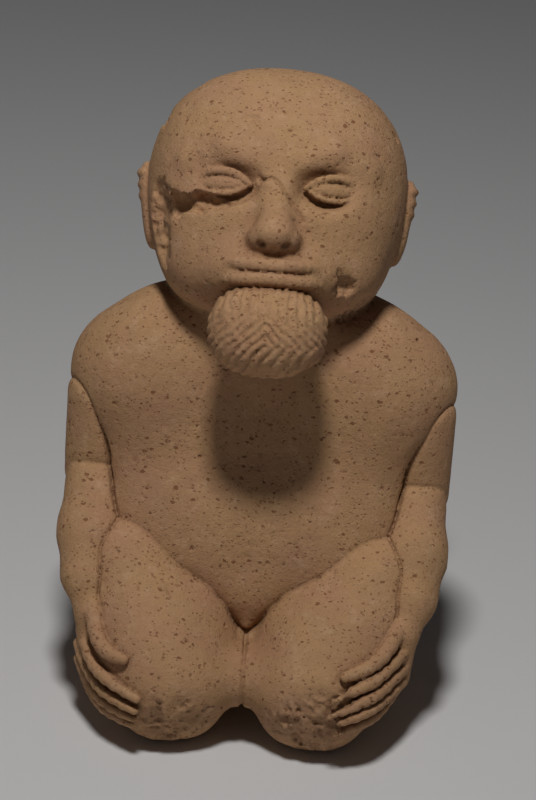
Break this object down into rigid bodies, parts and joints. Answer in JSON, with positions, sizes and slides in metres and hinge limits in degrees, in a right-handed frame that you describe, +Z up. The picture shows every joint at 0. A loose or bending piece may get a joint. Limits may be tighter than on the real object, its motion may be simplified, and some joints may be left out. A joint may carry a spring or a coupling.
{
  "type": "kneeling stone figure",
  "caption": "Carved stone statue of a squat kneeling figure, hands on its knees, with a large lifted head, long ears, flat lips and a round grooved beard.",
  "frame": {"origin": "on the flat underside, halfway between the sides and below the front of the trunk", "axes": "+Z up, the figure faces -Y and its left hand is on +X"},
  "size_m": [0.2764, 0.2854, 0.4441],
  "materials": {
    "tuff": "weathered, pitted, warm tan stone"
  },
  "bodies": {
    "root": {"kneeling_figure": "tuff"}
  },
  "joints": []
}
